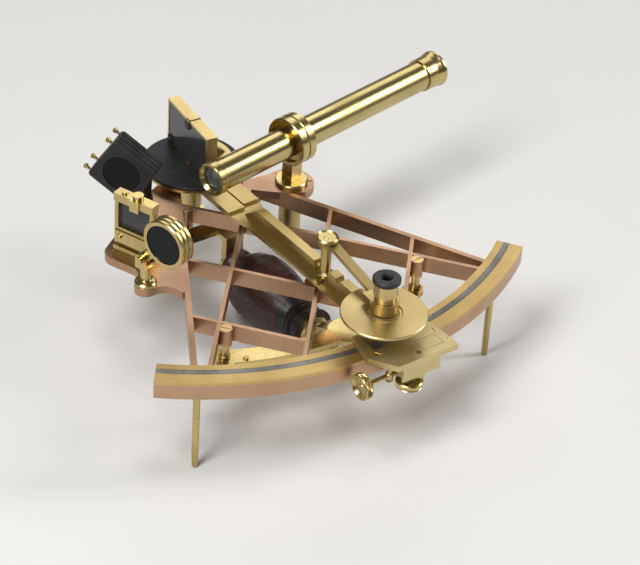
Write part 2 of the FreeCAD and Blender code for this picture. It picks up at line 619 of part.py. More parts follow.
def make_magnifier():
    reach = size("post_reach")
    arm_height = 2.6
    neck_top = 26.8
    post = [(0, 0), ("post_radius - 1", 0), ("post_radius - 1", "arm_thickness + 2.2"),
            ("post_radius + 1.6", "arm_thickness + 2.2"), ("post_radius + 1.6", "arm_thickness + 4"),
            ("post_radius", "arm_thickness + 5"), ("post_radius", 23.5), ("post_radius - 0.8", 23.5),
            ("post_radius - 0.8", neck_top), (0, neck_top)]
    foot = turned(post)
    foot.Placement = Placement(Vector(0, -reach, ARM_BOTTOM), Rotation())
    head = [(0, 0), (2.0, 0), (2.0, 0.4), (5.6, 0.4), (6.3, 1.1), (6.3, 2.4), (5.7, 3.0), (4.6, 2.1),
            (2.2, 1.9), (1.5, 2.6), (0, 2.6)]
    screw = turned(head)
    screw.Placement = Placement(Vector(0, -reach, ARM_BOTTOM + neck_top), Rotation())
    keep(group(foot, screw), "magnifier_post", ARM)

    run = LENS_AXIS - Vector(0, -reach, 0)
    turn = Rotation(UP, math.degrees(math.atan2(run.y, run.x)))
    length = run.Length
    high = LENS_ARM_BOTTOM - LIMB_TOP
    low = high - LENS_ARM_DROP
    side_view = [(-1.0, high), (6.0, high), (length - 14.0, low), (length - 3.0, low),
                 (length - 3.0, low + arm_height), (length - 13.6, low + arm_height),
                 (6.4, high + arm_height), (-1.0, high + arm_height)]
    leaf = padded(side_view, 14.0, role="XZ_Plane", both_ways=True)
    leaf.Placement = Placement(Vector(0, -reach, LIMB_TOP), turn)
    block = length - 14.0
    plan = padded([(-1.0, -1.0), (block, -0.8), (block, -5.2), (length - 3.0, -5.2),
                   (length - 3.0, 5.2), (block, 5.2), (block, 4.6), (-1.0, 4.4)], 40.0)
    plan.Placement = Placement(Vector(0, -reach, LIMB_TOP), turn)
    hub = cylinder(4.6, arm_height, (0, -reach, LENS_ARM_BOTTOM))
    ring_bottom = LENS_ARM_BOTTOM - LENS_ARM_DROP - 1.0
    ring = cylinder("lens_tube_radius + 1.8", 5.0, (LENS_AXIS.x, LENS_AXIS.y, ring_bottom))
    lip = cylinder("lens_tube_radius + 1.2", 1.4, (LENS_AXIS.x, LENS_AXIS.y, ring_bottom + 5.0))
    bores = [cylinder("post_radius - 0.8 + running_clearance", 9, (0, -reach, LENS_ARM_BOTTOM - 3)),
             cylinder("lens_tube_radius + running_clearance", 12,
                      (LENS_AXIS.x, LENS_AXIS.y, ring_bottom - 3))]
    keep(cut(fuse(common(leaf, plan), hub, ring, lip), *bores), "magnifier_arm", ARM)

    base = LIMB_TOP + 11.0
    lens_place = ARM * Placement(Vector(LENS_AXIS.x, LENS_AXIS.y, base), Rotation())
    bore = "lens_tube_radius - 0.9"
    tube = [(bore, 0), ("lens_tube_radius", 0), ("lens_tube_radius", 18.4),
            ("lens_tube_radius + 0.7", 18.8), ("lens_tube_radius - 0.2", 26.0),
            ("lens_tube_radius - 0.2", 26.4), (bore, 26.4)]
    keep(turned(tube), "magnifier_tube", lens_place)
    reflector = [("lens_tube_radius", 4.6), ("reflector_radius - 0.4", 4.6), ("reflector_radius", 5.0),
                 ("reflector_radius", 5.9), ("reflector_radius - 0.4", 6.3), (10.2, 6.3), (9.6, 5.7),
                 (8.6, 5.7), (8.0, 6.9), ("lens_tube_radius", 7.4)]
    keep(turned(reflector), "magnifier_reflector", lens_place)
    lens = [(0, 3.0), (bore, 2.2), (bore, 4.2), (0, 3.8)]
    keep(turned(lens), "magnifier_lens", lens_place)
    cap = [(2.6, 28.0), (3.4, 29.2), ("eyecap_radius - 0.8", 29.2), ("eyecap_radius", 28.6),
           ("eyecap_radius", 26.6), ("eyecap_radius - 0.6", 26.0), ("lens_tube_radius - 0.2", 26.0),
           ("lens_tube_radius - 0.2", 26.4), (2.6, 26.4)]
    keep(turned(cap), "magnifier_eyecap", lens_place)


# ---------------------------------------------------------------- telescope

AXIS_HEIGHT = LIMB_TOP + size("telescope_height")
TELESCOPE = upright(size("telescope_azimuth"), STEM.x - 1.0, STEM.y - 0.4, AXIS_HEIGHT)
SOCKET_BOTTOM = LIMB_TOP - 44.0


def make_telescope_mount():
    """The socket under the plate, the square stem with the collar, and the raising screw."""
    turn = Rotation(UP, size("telescope_azimuth"))
    socket_top = BAR_TOP + 2.4
    height = socket_top - SOCKET_BOTTOM
    profile = [(2.06, 0), ("socket_radius - 1", 0), ("socket_radius", 1), ("socket_radius", height - 2.4),
               ("socket_radius + 3", height - 2.4), ("socket_radius + 3", height - 0.6),
               ("socket_radius + 2.4", height), (2.06, height)]
    bore = box("stem_side + 2 * running_clearance", "stem_side + 2 * running_clearance", height)
    half = size("stem_side") / 2
    clear = half + size("running_clearance")
    bore.Placement = Placement(turn.multVec(Vector(-clear, -clear, 0)) + Vector(0, 0, 3.0), turn)
    keep(cut(turned(profile), bore), "telescope_socket",
         Placement(Vector(STEM.x, STEM.y, SOCKET_BOTTOM), Rotation()))

    stem_bottom = SOCKET_BOTTOM + 12.0
    collar_low = AXIS_HEIGHT - size("collar_radius") + 1.0
    stem = box("stem_side", "stem_side", collar_low - stem_bottom)
    stem.Placement = Placement(turn.multVec(Vector(-half, -half, 0)) + Vector(STEM.x, STEM.y, stem_bottom),
                               turn)
    rod_hole = cylinder(2.06, 19, (STEM.x, STEM.y, stem_bottom))
    ring = [(12.3, -5.6), ("collar_radius - 0.5", -5.6), ("collar_radius", -5.1), ("collar_radius", -0.5),
            ("collar_radius - 0.7", 0.1), ("collar_radius", 0.7), ("collar_radius", 5.1),
            ("collar_radius - 0.5", 5.6), (12.3, 5.6)]
    collar = turned(ring)
    collar.Placement = TELESCOPE
    inside = cylinder(12.3, 14)
    inside.Placement = TELESCOPE * Placement(Vector(0, 0, -7), Rotation())
    keep(cut(fuse(collar, stem), rod_hole, inside), "telescope_stem")

    knob = [(0, 0), (7.2, 0), (8.0, 0.8), (8.0, 5.2), (7.2, 6.0), (3.2, 6.4), (2.0, 6.4), (2.0, 30.0),
            (0, 30.0)]
    keep(turned(knob), "raising_screw", Placement(Vector(STEM.x, STEM.y, SOCKET_BOTTOM - 7.0), Rotation()))


def make_telescope():
    """Main tube with a screwed flange, objective cell, draw tube with the eyepiece, and lenses."""
    bore = "tube_radius - tube_wall"
    tube = [(bore, -59.0), ("tube_radius", -59.0), ("tube_radius", -3.6), (12.3, -3.6), (12.3, 5.0),
            (10.4, 5.6), ("tube_radius", 5.6), ("tube_radius", 106.0), (bore, 106.0)]
    cell = [(7.2, -62.6), (8.6, -64.4), (9.5, -64.4), (9.7, -63.8), (9.7, -59.6), (9.4, -59.0),
            (bore, -59.0), (bore, -60.4), (7.2, -60.4)]
    keep(group(turned(tube), turned(cell)), "telescope_tube", TELESCOPE)
    lens = [(0, -61.9), (4.0, -61.7), (7.2, -61.0), (7.2, -60.4), (bore, -60.4), (bore, -59.4),
            (0, -59.4)]
    keep(turned(lens), "objective_lens", TELESCOPE)
    draw_radius = "tube_radius - tube_wall - running_clearance"
    sleeve = [("tube_radius - 1.6", 60.0), (draw_radius, 60.0), (draw_radius, 106.0), (9.9, 106.0),
              (10.0, 113.5), (10.5, 117.0), (10.9, 118.4), (10.9, 119.6), (10.3, 120.2),
              (6.0, 120.2), (4.2, 118.8), (4.2, 117.8), ("tube_radius - 1.6", 117.8)]
    keep(turned(sleeve), "eyepiece_draw_tube", TELESCOPE)
    eye = [(0, 113.4), (4.0, 113.8), ("tube_radius - 1.6", 114.6), ("tube_radius - 1.6", 116.6),
           (4.0, 117.2), (0, 117.6)]
    keep(turned(eye), "eyepiece_lens", TELESCOPE)


# ---------------------------------------------------------------- horizon mirror and its shades

HORIZON = upright(size("horizon_normal"), -72.0, -57.7, LIMB_TOP)


def make_horizon_mirror():
    """Moulded foot, upright frame with a window, and a heavier top bar with a clip."""
    half = size("horizon_width") / 2
    foot_bottom = -size("bar_drop")
    top = size("horizon_top")
    foot = span_box((-half - 1.0, foot_bottom, -6.0), (half - 1.0, 1.4, 6.0))
    step = span_box((-half, 1.4, -4.6), (half - 1.0, 4.4, 4.6))
    face = box("horizon_width", top - 4.4, 4.0, (-half, 4.4, -2.0))
    cap = box("horizon_width", 5.0, 6.2, (-half, top - 5.0, -3.1))
    window = span_box((-half + 2.4, 15.5, -4), (half - 2.4, 32.6, 4))
    rebate = span_box((-half + 1.4, 14.5, 0.2), (half - 1.4, 33.0 - 0.4, 2.0))
    groove = [span_box((-half - 2, z, -7), (half + 2, z + 0.5, -5.4)) for z in (-0.2, 0.9)]
    keep(cut(fuse(foot, step, face, cap), window, rebate, *groove), "horizon_mirror_frame", HORIZON)
    pane = span_box((-half + 1.4, 14.5, 0.2), (half - 1.4, 32.6, 1.8))
    keep(pane, "horizon_glass", HORIZON)
    lower = span_box((-half + 0.6, 5.6, -2.9), (half - 0.6, 13.4, -2.0))
    clip = cylinder(3.0, 2.6, (-1.4, top, 0), Rotation(Vector(1, 0, 0), -90))
    clip_arm = span_box((-4.4, top - 7.0, -4.2), (1.6, top - 0.4, -3.1))
    cap_clip = span_box((-4.4, top - 0.4, -4.2), (1.6, top, -3.1))
    screw_a = cylinder(1.7, 1.1, (half - 5.5, top, 0), Rotation(Vector(1, 0, 0), -90))
    screw_b = cylinder(1.5, 1.2, (half - 4.0, 9.6, -2.9), Rotation(Vector(0, 1, 0), 180))
    keep(group(lower, fuse(clip_arm, cap_clip), clip, screw_a, screw_b), "horizon_mirror_clips", HORIZON)


SHADE_PIN_HEIGHT = LIMB_TOP + 16.5
HORIZON_SHADES = upright(size("horizon_shade_azimuth"), HORIZON_POST.x, HORIZON_POST.y, SHADE_PIN_HEIGHT)
HORIZON_SHADE_CENTRE = Vector(-14.4, 15.7, 0)
SHADE_STACK_START = -3.0


def make_horizon_shade_post():
    height = SHADE_PIN_HEIGHT - BAR_TOP
    saddle = height - 5.4
    profile = [(0, 0), (6.2, 0), (6.2, 1.4), (5.4, 2.2), (3.6, 2.8), (3.0, 3.6), (3.0, saddle - 1.6),
               (3.9, saddle - 0.8), (3.9, saddle), (0, saddle)]
    post = turned(profile)
    post.Placement = Placement(Vector(HORIZON_POST.x, HORIZON_POST.y, BAR_TOP), Rotation())
    front = SHADE_STACK_START - 0.2
    back = SHADE_STACK_START + 3 * size("horizon_shade_pitch") + 0.1
    cheek = 2.2
    base = span_box((-3.2, -5.6, front - cheek), (3.2, -3.7, back + cheek))
    cheeks = []
    for start in (front - cheek, back):
        cheeks.append(span_box((-3.2, -4.0, start), (3.2, 0.0, start + cheek)))
        cheeks.append(cylinder(3.2, cheek, (0, 0, start)))
    pin = cylinder(1.5, back - front + 2 * cheek + 1.0, (0, 0, front - cheek - 0.5))
    nut = cylinder(2.2, 1.3, (0, 0, front - cheek - 1.3))
    fork = fuse(base, *cheeks, pin, nut)
    fork.Placement = HORIZON_SHADES
    keep(fuse(post, fork), "horizon_shade_post")


def make_horizon_shade(number):
    """A round glass in a brass ring, with a flat lug that turns on the pin."""
    start = SHADE_STACK_START + number * size("horizon_shade_pitch")
    thick = "horizon_shade_thickness"
    centre = HORIZON_SHADE_CENTRE
    edge = 0.6
    rim = [(4.0, 0), (f"horizon_shade_radius - {edge}", 0), ("horizon_shade_radius", edge),
           ("horizon_shade_radius", f"{thick} - {edge}"), (f"horizon_shade_radius - {edge}", thick), (4.0, thick)]
    ring = turned(rim)
    ring.Placement = Placement(Vector(centre.x, centre.y, start), Rotation())
    lug = cylinder(3.3, thick, (0, 0, start))
    neck = box(centre.Length, 5.2, thick)
    turn = Rotation(UP, math.degrees(math.atan2(centre.y, centre.x)))
    neck.Placement = Placement(turn.multVec(Vector(0, -2.6, 0)) + Vector(0, 0, start), turn)
    pin_hole = cylinder("1.5 + running_clearance", 8, (0, 0, start - 1))
    seat = cylinder("horizon_glass_radius", 8, (centre.x, centre.y, start - 1))
    keep(cut(fuse(ring, lug, neck), pin_hole, seat), f"horizon_shade_ring_{number + 1}", HORIZON_SHADES)
    pane = cylinder("horizon_glass_radius", "horizon_shade_thickness - 1", (centre.x, centre.y, start + 0.5))
    keep(pane, f"horizon_shade_glass_{number + 1}", HORIZON_SHADES)


# ---------------------------------------------------------------- index shades

INDEX_SHADES = upright(size("index_shade_azimuth"), 0, 0, LIMB_TOP)
SHADE_PIN = Vector(-12.5, 2.0, 0)
SHADE_TILT = -32.6
SHADE_CENTRE = Vector(-22.3, 24.8, 0)
SHADE_CORNER = 1.4
FIRST_SHADE = 42.3


def make_index_shade_bracket():
    """A foot on the plate with two ears that carry the shades' pin."""
    last = FIRST_SHADE + 4 * size("index_shade_pitch")
    low = -size("bar_drop")
    ears = []
    for start, width in ((FIRST_SHADE - 3.2, 2.6), (last + 0.1, 2.6)):
        ears.append(span_box((SHADE_PIN.x - 3.2, low, start), (SHADE_PIN.x + 3.2, SHADE_PIN.y, start + width)))
        ears.append(cylinder(3.2, width, (SHADE_PIN.x, SHADE_PIN.y, start)))
    pin = cylinder(1.5, last - FIRST_SHADE + 8.0, (SHADE_PIN.x, SHADE_PIN.y, FIRST_SHADE - 4.6))
    nut = cylinder(2.3, 1.6, (SHADE_PIN.x, SHADE_PIN.y, last + 2.7))
    keep(fuse(*ears, pin, nut), "index_shade_bracket", INDEX_SHADES)


def make_index_shade(number):
    """A square leaf with a round glass, hung at its lower corner from the pin."""
    start = FIRST_SHADE + number * size("index_shade_pitch")
    thick = "index_shade_thickness"
    half = size("index_shade_side") / 2
    tilt = Rotation(UP, SHADE_TILT)
    inner = half - SHADE_CORNER
    leaf = padded([(-inner, -half), (inner, -half), (half, -inner), (half, inner), (inner, half),
                   (-inner, half), (-half, inner), (-half, -inner)], thick)
    leaf.Placement = Placement(SHADE_CENTRE + Vector(0, 0, start), tilt)
    rise = SHADE_CENTRE + tilt.multVec(Vector(half, 2.0, 0))
    link = padded([(SHADE_PIN.x + 3.2, SHADE_PIN.y), (rise.x, rise.y), (SHADE_CENTRE.x, SHADE_CENTRE.y),
                   (SHADE_PIN.x - 3.2, SHADE_PIN.y)], thick, bottom=start)
    lug = cylinder(3.2, thick, (SHADE_PIN.x, SHADE_PIN.y, start))
    seat = cylinder("index_glass_radius", 8, (SHADE_CENTRE.x, SHADE_CENTRE.y, start - 1))
    hole = cylinder("1.5 + running_clearance", 8, (SHADE_PIN.x, SHADE_PIN.y, start - 1))
    keep(cut(fuse(leaf, link, lug), seat, hole), f"index_shade_leaf_{number + 1}", INDEX_SHADES)
    pane = cylinder("index_glass_radius", "index_shade_thickness - 1.2",
                    (SHADE_CENTRE.x, SHADE_CENTRE.y, start + 0.6))
    keep(pane, f"index_shade_glass_{number + 1}", INDEX_SHADES)


def make_index_shades():
    for number in range(4):
        make_index_shade(number)


# ---------------------------------------------------------------- handle

def make_handle():
    """Turned wooden grip on a brass rod between an upper bracket and the lower strap."""
    depth = size("limb_top") - size("handle_drop")
    skewed = Placement(Vector(-1.1, 0, 0), Rotation(UP, size("handle_skew")))
    lie = skewed * Placement(Vector(0, 0, depth), Rotation(Vector(1, 0, 0), 90))
    start = "grip_start"
    end = "grip_end"
    grip = [(2.6, start), (9.0, start), (11.0, "grip_start + 1.5"), (11.0, "grip_start + 4"),
            (9.6, "grip_start + 6.5"), (12.4, "grip_start + 10"), (17.0, "grip_start + 16"),
            ("grip_radius - 0.7", "grip_start + 22"), ("grip_radius", "grip_start + 28"),
            ("grip_radius - 0.2", "grip_start + 36"), ("grip_radius - 1.2", "grip_start + 44"),
            (15.6, "grip_end - 22"), (12.6, "grip_end - 16"), (11.4, "grip_end - 13"),
            (12.6, "grip_end - 12.4"), (12.6, "grip_end - 11"), (11.6, "grip_end - 10.4"),
            (12.4, "grip_end - 9.8"), (12.4, "grip_end - 8.6"), (10.4, "grip_end - 7.6"),
            (10.4, "grip_end - 4.6"), (13.2, "grip_end - 1.4"), (13.2, end), (2.6, end)]
    keep(turned(grip), "handle_grip", lie)
    rod = [(0, "grip_start - 7"), (2.6, "grip_start - 7"), (2.6, "grip_end + 15"), (0, "grip_end + 15")]
    ferrule = [(2.6, end), (9.6, end), (9.6, "grip_end + 2"), (8.0, "grip_end + 3"),
               (8.0, "grip_end + 9"), (2.6, "grip_end + 9")]
    nut = [(2.6, "grip_end + 13"), (5.4, "grip_end + 13"), (5.4, "grip_end + 15"), (4.6, "grip_end + 16"),
           (5.0, "grip_end + 17.4"), (2.4, "grip_end + 22"), (0, "grip_end + 22.6"),
           (0, "grip_end + 15"), (2.6, "grip_end + 15")]
    keep(group(turned(rod), turned(ferrule), turned(nut)), "handle_rod", lie)

    strap_top = BAR_BOTTOM - size("pillar_length")
    strap_thickness = 3.0
    strap_low = strap_top - strap_thickness
    bolt = size("grip_end") + 9.0
    reach = LOWER_BOSS.Length
    half = math.degrees(math.atan2(LOWER_BOSS.x, -LOWER_BOSS.y))
    strap = sector(reach - 5.6, reach + 5.6, half, strap_low, strap_thickness)
    lobes = [cylinder(radius, strap_thickness, (side * LOWER_BOSS.x, LOWER_BOSS.y, strap_low))
             for side, radius in ((-1, 8.0), (1, 4.6))]
    middle = cylinder(11.0, strap_thickness, (0, -reach, strap_low))
    drop = span_box((-5.5, -bolt - 4.0, depth), (5.5, -bolt, strap_low - 6.0))
    arch = padded([(-bolt, strap_low - 6.0), (-bolt - 4.0, strap_low - 6.0), (-reach + 1.0, strap_low),
                   (-reach + 7.5, strap_low)], 11.0, role="YZ_Plane", both_ways=True)
    eye = cylinder(7.0, 4.0, (0, -bolt, depth), Rotation(Vector(1, 0, 0), 90))
    bore = cylinder(2.6, 12.0, (0, -bolt + 2, depth), Rotation(Vector(1, 0, 0), 90))
    for obj in (middle, drop, arch, eye, bore):
        obj.Placement = skewed * obj.Placement
    keep(cut(fuse(strap, *lobes, middle, drop, arch, eye), bore), "handle_lower_strap")

    top_end = size("grip_start")
    bridge = box(2 * UPPER_BOSS.x, 10.0, strap_thickness, (-UPPER_BOSS.x, UPPER_BOSS.y - 5.0, strap_low))
    ends = [cylinder(5.0, strap_thickness, (side * UPPER_BOSS.x, UPPER_BOSS.y, strap_low))
            for side in (-1, 1)]
    hanger = span_box((-6.0, -top_end, depth), (6.0, -top_end + 4.5, strap_low))
    shelf = span_box((-6.0, -top_end, strap_low), (6.0, UPPER_BOSS.y - 4.0, strap_low + strap_thickness))
    round_end = cylinder(7.0, 4.5, (0, -top_end + 4.5, depth), Rotation(Vector(1, 0, 0), 90))
    top_bore = cylinder(2.6, 12.0, (0, -top_end + 8, depth), Rotation(Vector(1, 0, 0), 90))
    for obj in (hanger, shelf, round_end, top_bore):
        obj.Placement = skewed * obj.Placement
    keep(cut(fuse(bridge, *ends, hanger, shelf, round_end), top_bore), "handle_upper_bracket")


# ---------------------------------------------------------------- build and write

def check(obj):
    """Stop if a sub-part failed, or its shape is missing or broken."""
    for item in doc.Objects:
        if "Invalid" in item.State or "Error" in item.State:
            raise RuntimeError(f"{item.Label} did not compute: {item.State}")
    if obj.Shape.isNull() or not obj.Shape.isValid() or obj.Shape.Volume <= 0:
        raise RuntimeError(f"{obj.Label} has no sound shape")


def build():
    make_radial_bars()
    make_lattice_bars()
    make_plates()
    make_bosses()
    make_pillars()
    make_limb()
    make_index_bearing()
    make_index_arm()
    make_mirror_table()
    make_index_mirror()
    make_vernier()
    make_clamp()
    make_magnifier()
    make_telescope_mount()
    make_telescope()
    make_horizon_mirror()
    make_horizon_shade_post()
    for number in range(3):
        make_horizon_shade(number)
    make_index_shade_bracket()
    make_index_shades()
    make_handle()


build()
doc.recompute()
os.makedirs("parts", exist_ok=True)
for subpart in subparts:
    check(subpart)
for subpart in subparts:
    subpart.Shape.exportStep(os.path.join("parts", subpart.Label + ".step"))
print(len(subparts), "sub-parts written")
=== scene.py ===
import json
import math

import bmesh
import bpy
from mathutils import Euler, Matrix, Vector


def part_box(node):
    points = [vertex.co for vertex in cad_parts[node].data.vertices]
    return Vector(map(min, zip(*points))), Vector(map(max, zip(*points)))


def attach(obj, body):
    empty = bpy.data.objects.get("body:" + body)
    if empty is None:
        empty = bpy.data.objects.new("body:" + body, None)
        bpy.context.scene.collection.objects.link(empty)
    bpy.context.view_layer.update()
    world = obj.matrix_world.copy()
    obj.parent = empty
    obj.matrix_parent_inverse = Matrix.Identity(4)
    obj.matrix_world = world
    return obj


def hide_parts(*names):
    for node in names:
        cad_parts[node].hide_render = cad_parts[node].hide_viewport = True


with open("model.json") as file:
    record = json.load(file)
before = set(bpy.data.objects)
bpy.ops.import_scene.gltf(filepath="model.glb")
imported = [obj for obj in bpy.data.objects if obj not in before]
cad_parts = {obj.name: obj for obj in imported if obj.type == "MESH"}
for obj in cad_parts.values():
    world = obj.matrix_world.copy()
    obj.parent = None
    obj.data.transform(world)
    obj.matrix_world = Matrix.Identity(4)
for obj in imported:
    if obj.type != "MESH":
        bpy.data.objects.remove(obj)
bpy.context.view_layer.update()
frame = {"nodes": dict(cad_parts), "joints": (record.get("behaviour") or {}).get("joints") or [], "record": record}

# The looks of a brass and gunmetal sextant: materials for the CAD nodes, the fine pieces that ride
# on their bodies, the stage, the lights and the camera. The frame, materials, lights and camera are
# in metres. New pieces are shaped in millimetres, and add_piece turns them into metres.

MM = 0.001
NODES = frame["nodes"]
JOINTS = {joint["name"]: joint for joint in frame["joints"]}
UP = Vector((0, 0, 1))
IN_PLACE = Matrix.Identity(4)


# ------------------------------------------------------------------ frames of reference

def basis(x_axis, y_axis, z_axis, origin):
    """A frame from its three axes, of any length, and its origin."""
    columns = [Vector(v).normalized() for v in (x_axis, y_axis, z_axis)]
    matrix = Matrix(columns).transposed().to_4x4()
    matrix.translation = Vector(origin)
    return matrix


def along_joint(name):
    """A frame with its origin on a level joint's axis and its Z along that axis."""
    axis = Vector(JOINTS[name]["axis"]).normalized()
    side = UP.cross(axis).normalized()
    return basis(side, axis.cross(side), axis, JOINTS[name]["pos_m"])


def upright_at(name, height):
    """A frame on an upright joint's axis, at a height, with its axes along the part's own."""
    x, y, _ = JOINTS[name]["pos_m"]
    return Matrix.Translation((x, y, height))


def node_centre(name):
    """The middle of a node's box at rest."""
    low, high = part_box(name)
    return (low + high) / 2


def heading(run):
    """The angle of a level direction from +X, in radians."""
    return math.atan2(run.y, run.x)


# The arm's frame: X across the arm along the tangent screw, Y along the arm from limb to index.
ARM_ACROSS = Vector(JOINTS["tangent_screw_turn"]["axis"])
ARM = basis(ARM_ACROSS, UP.cross(ARM_ACROSS), UP, (0, 0, 0))
ARM_ACROSS_ANGLE = heading(ARM_ACROSS)
ARM_ALONG_ANGLE = ARM_ACROSS_ANGLE + math.pi / 2
TELESCOPE_ANGLE = heading(Vector(JOINTS["eyepiece_draw"]["axis"]))


# ------------------------------------------------------------------ materials

# How fine each noise is, in features per metre.
STAINS, SPECKS, GRAIN = 38.0, 1900.0, 2600.0
DUST, CLOUDS, FLECKS, PITS = 1600.0, 90.0, 1400.0, 3000.0
# How far metal is rubbed bright, partly as wear and partly as a painted highlight, and black rubbed through, from
# an edge.
METAL_WEAR_AND_HIGHLIGHT, BLACK_WEAR = 0.00035, 0.0003
# How far the surface moves under a bump of strength 1.
BUMP_REACH = 0.0002
# The dot product of the rounded and the true normal where an edge's wear (on metal also its painted highlight)
# starts, and where it is full.
WEAR_AND_HIGHLIGHT_START, WEAR_AND_HIGHLIGHT_FULL = 0.99, 0.8
# The sockets of a Mix node that mixes colours; its sockets for other kinds have the same names.
MIX_SHARE, MIX_FIRST, MIX_SECOND, MIX_RESULT = 0, 6, 7, 2


class Nodes:
    """Adds nodes to one new material and joins them."""

    def __init__(self, name):
        self.material = bpy.data.materials.new(name)
        self.material.use_nodes = True
        self.tree = self.material.node_tree
        self.shader = self.tree.nodes["Principled BSDF"]

    def plug(self, node, socket, value):
        """Join another node's output to a socket, or give the socket a plain value."""
        if isinstance(value, bpy.types.NodeSocket):
            self.tree.links.new(value, node.inputs[socket])
        else:
            node.inputs[socket].default_value = value

    def add(self, kind, settings=None, **inputs):
        """A new node with its settings and inputs, with _ for each space in an input's name."""
        node = self.tree.nodes.new(kind)
        for key, value in (settings or {}).items():
            setattr(node, key, value)
        for key, value in inputs.items():
            self.plug(node, key.replace("_", " "), value)
        return node

    def vector_math(self, operation, *values):
        node = self.add("ShaderNodeVectorMath", {"operation": operation})
        for socket, value in enumerate(values):
            self.plug(node, socket, value)
        return node

    def coords(self, scale=(1, 1, 1), turn=(0, 0, 0), origin=(0, 0, 0)):
        """Object coordinates, moved so that origin is at zero, turned, then scaled, in metres."""
        place = self.add("ShaderNodeTexCoord").outputs["Object"]
        moved = self.vector_math("SUBTRACT", place, origin).outputs[0]
        turned = self.add("ShaderNodeMapping", {"vector_type": "POINT"}, Vector=moved, Rotation=turn,
                          Scale=scale)
        return turned.outputs[0]

    def noise(self, vector, scale, detail=3.0, roughness=0.5):
        node = self.add("ShaderNodeTexNoise", Vector=vector, Scale=scale, Detail=detail,
                        Roughness=roughness)
        return node.outputs["Fac"]

    def spread(self, value, low, high, to_low=0.0, to_high=1.0):
        """The range from low to high of a value, stretched to the range from to_low to to_high."""
        node = self.add("ShaderNodeMapRange", Value=value, From_Min=low, From_Max=high, To_Min=to_low,
                        To_Max=to_high)
        return node.outputs["Result"]

    def mix(self, share, first, second):
        """A blend of two colours, each a socket or three numbers."""
        node = self.add("ShaderNodeMix", {"data_type": "RGBA"})
        self.plug(node, MIX_SHARE, share)
        for socket, colour in ((MIX_FIRST, first), (MIX_SECOND, second)):
            is_socket = isinstance(colour, bpy.types.NodeSocket)
            self.plug(node, socket, colour if is_socket else (*colour, 1.0))
        return node.outputs[MIX_RESULT]

    def sum(self, *values):
        """The sum of numbers, each a socket."""
        total = values[0]
        for value in values[1:]:
            node = self.add("ShaderNodeMath", {"operation": "ADD"})
            self.plug(node, 0, total)
            self.plug(node, 1, value)
            total = node.outputs[0]
        return total

    def distance_from_axis(self, origin):
        """A vector whose X is the distance from the upright axis through origin."""
        split = self.add("ShaderNodeSeparateXYZ", Vector=self.coords(origin=origin))
        flat = self.add("ShaderNodeCombineXYZ", X=split.outputs[0], Y=split.outputs[1])
        radius = self.vector_math("LENGTH", flat.outputs[0]).outputs["Value"]
        return self.add("ShaderNodeCombineXYZ", X=radius).outputs[0]

    def edges(self, radius):
        """One along sharp edges and nothing on flat faces."""
        rounded = self.add("ShaderNodeBevel", {"samples": 4}, Radius=radius).outputs[0]
        true = self.add("ShaderNodeNewGeometry").outputs["Normal"]
        match = self.vector_math("DOT_PRODUCT", rounded, true).outputs["Value"]
        return self.spread(match, WEAR_AND_HIGHLIGHT_START, WEAR_AND_HIGHLIGHT_FULL)

    def surface(self, colour, roughness, height, depth, **settings):
        """Fill the shader's sockets, with a bump from height, and return the finished material."""
        bump = self.add("ShaderNodeBump", Height=height, Strength=depth, Distance=BUMP_REACH)
        self.plug(self.shader, "Base Color", colour)
        self.plug(self.shader, "Roughness", roughness)
        self.plug(self.shader, "Normal", bump.outputs[0])
        for key, value in settings.items():
            self.plug(self.shader, key.replace("_", " "), value)
        return self.material


def lighter(colour, gain, lift):
    """A colour with each of its parts multiplied by gain and raised by lift."""
    return tuple(min(1.0, part * gain + lift) for part in colour)


def metal(name, bright, dull, roughness, lines=None, turn=(0, 0, 0), rings=None, origin=(0, 0, 0),
          line_depth=0.02, stain=0.5, streak=0.22):
    """Old lacquered metal: stains, small specks, tool marks, and edges rubbed bright, partly as wear and partly as
    a painted highlight.

    The tool marks are straight, with one fineness for each axis after the turn (lines), or round an
    upright axis through origin (rings). Stain and streak say how strongly the dull colour shows.
    """
    made = Nodes(name)
    plain = made.coords()
    stains = made.spread(made.noise(plain, STAINS, 1.5, 0.45), 0.35, 0.7)
    specks = made.spread(made.noise(plain, SPECKS, 3.0, 0.65), 0.62, 0.8)
    if rings:
        marks = made.noise(made.distance_from_axis(origin), rings, 3.0, 0.6)
    else:
        marks = made.noise(made.coords(scale=lines, turn=turn), 1.0, 3.0, 0.6)
    stained = tuple(b + (d - b) * stain for b, d in zip(bright, dull))
    colour = made.mix(stains, bright, stained)
    colour = made.mix(made.spread(marks, 0.38, 0.72, 0.0, streak), colour, dull)
    colour = made.mix(made.spread(specks, 0.0, 1.0, 0.0, 0.1), colour, dull)
    # Edges lightened: partly real wear, partly a painted highlight along sharp edges.
    worn_and_highlit = made.spread(made.edges(METAL_WEAR_AND_HIGHLIGHT), 0.0, 1.0, 0.0, 0.7)
    colour = made.mix(worn_and_highlit, colour, lighter(bright, 1.18, 0.03))
    rough = made.sum(made.spread(stains, 0.0, 1.0, roughness - 0.03, roughness + 0.05),
                     made.spread(marks, 0.3, 0.7, -0.012, 0.012),
                     made.spread(specks, 0.0, 1.0, 0.0, 0.02))
    height = made.sum(marks, made.spread(made.noise(plain, GRAIN, 2.0), 0.0, 1.0, 0.0, 0.15))
    return made.surface(colour, rough, height, line_depth, Metallic=1.0, IOR=1.45)


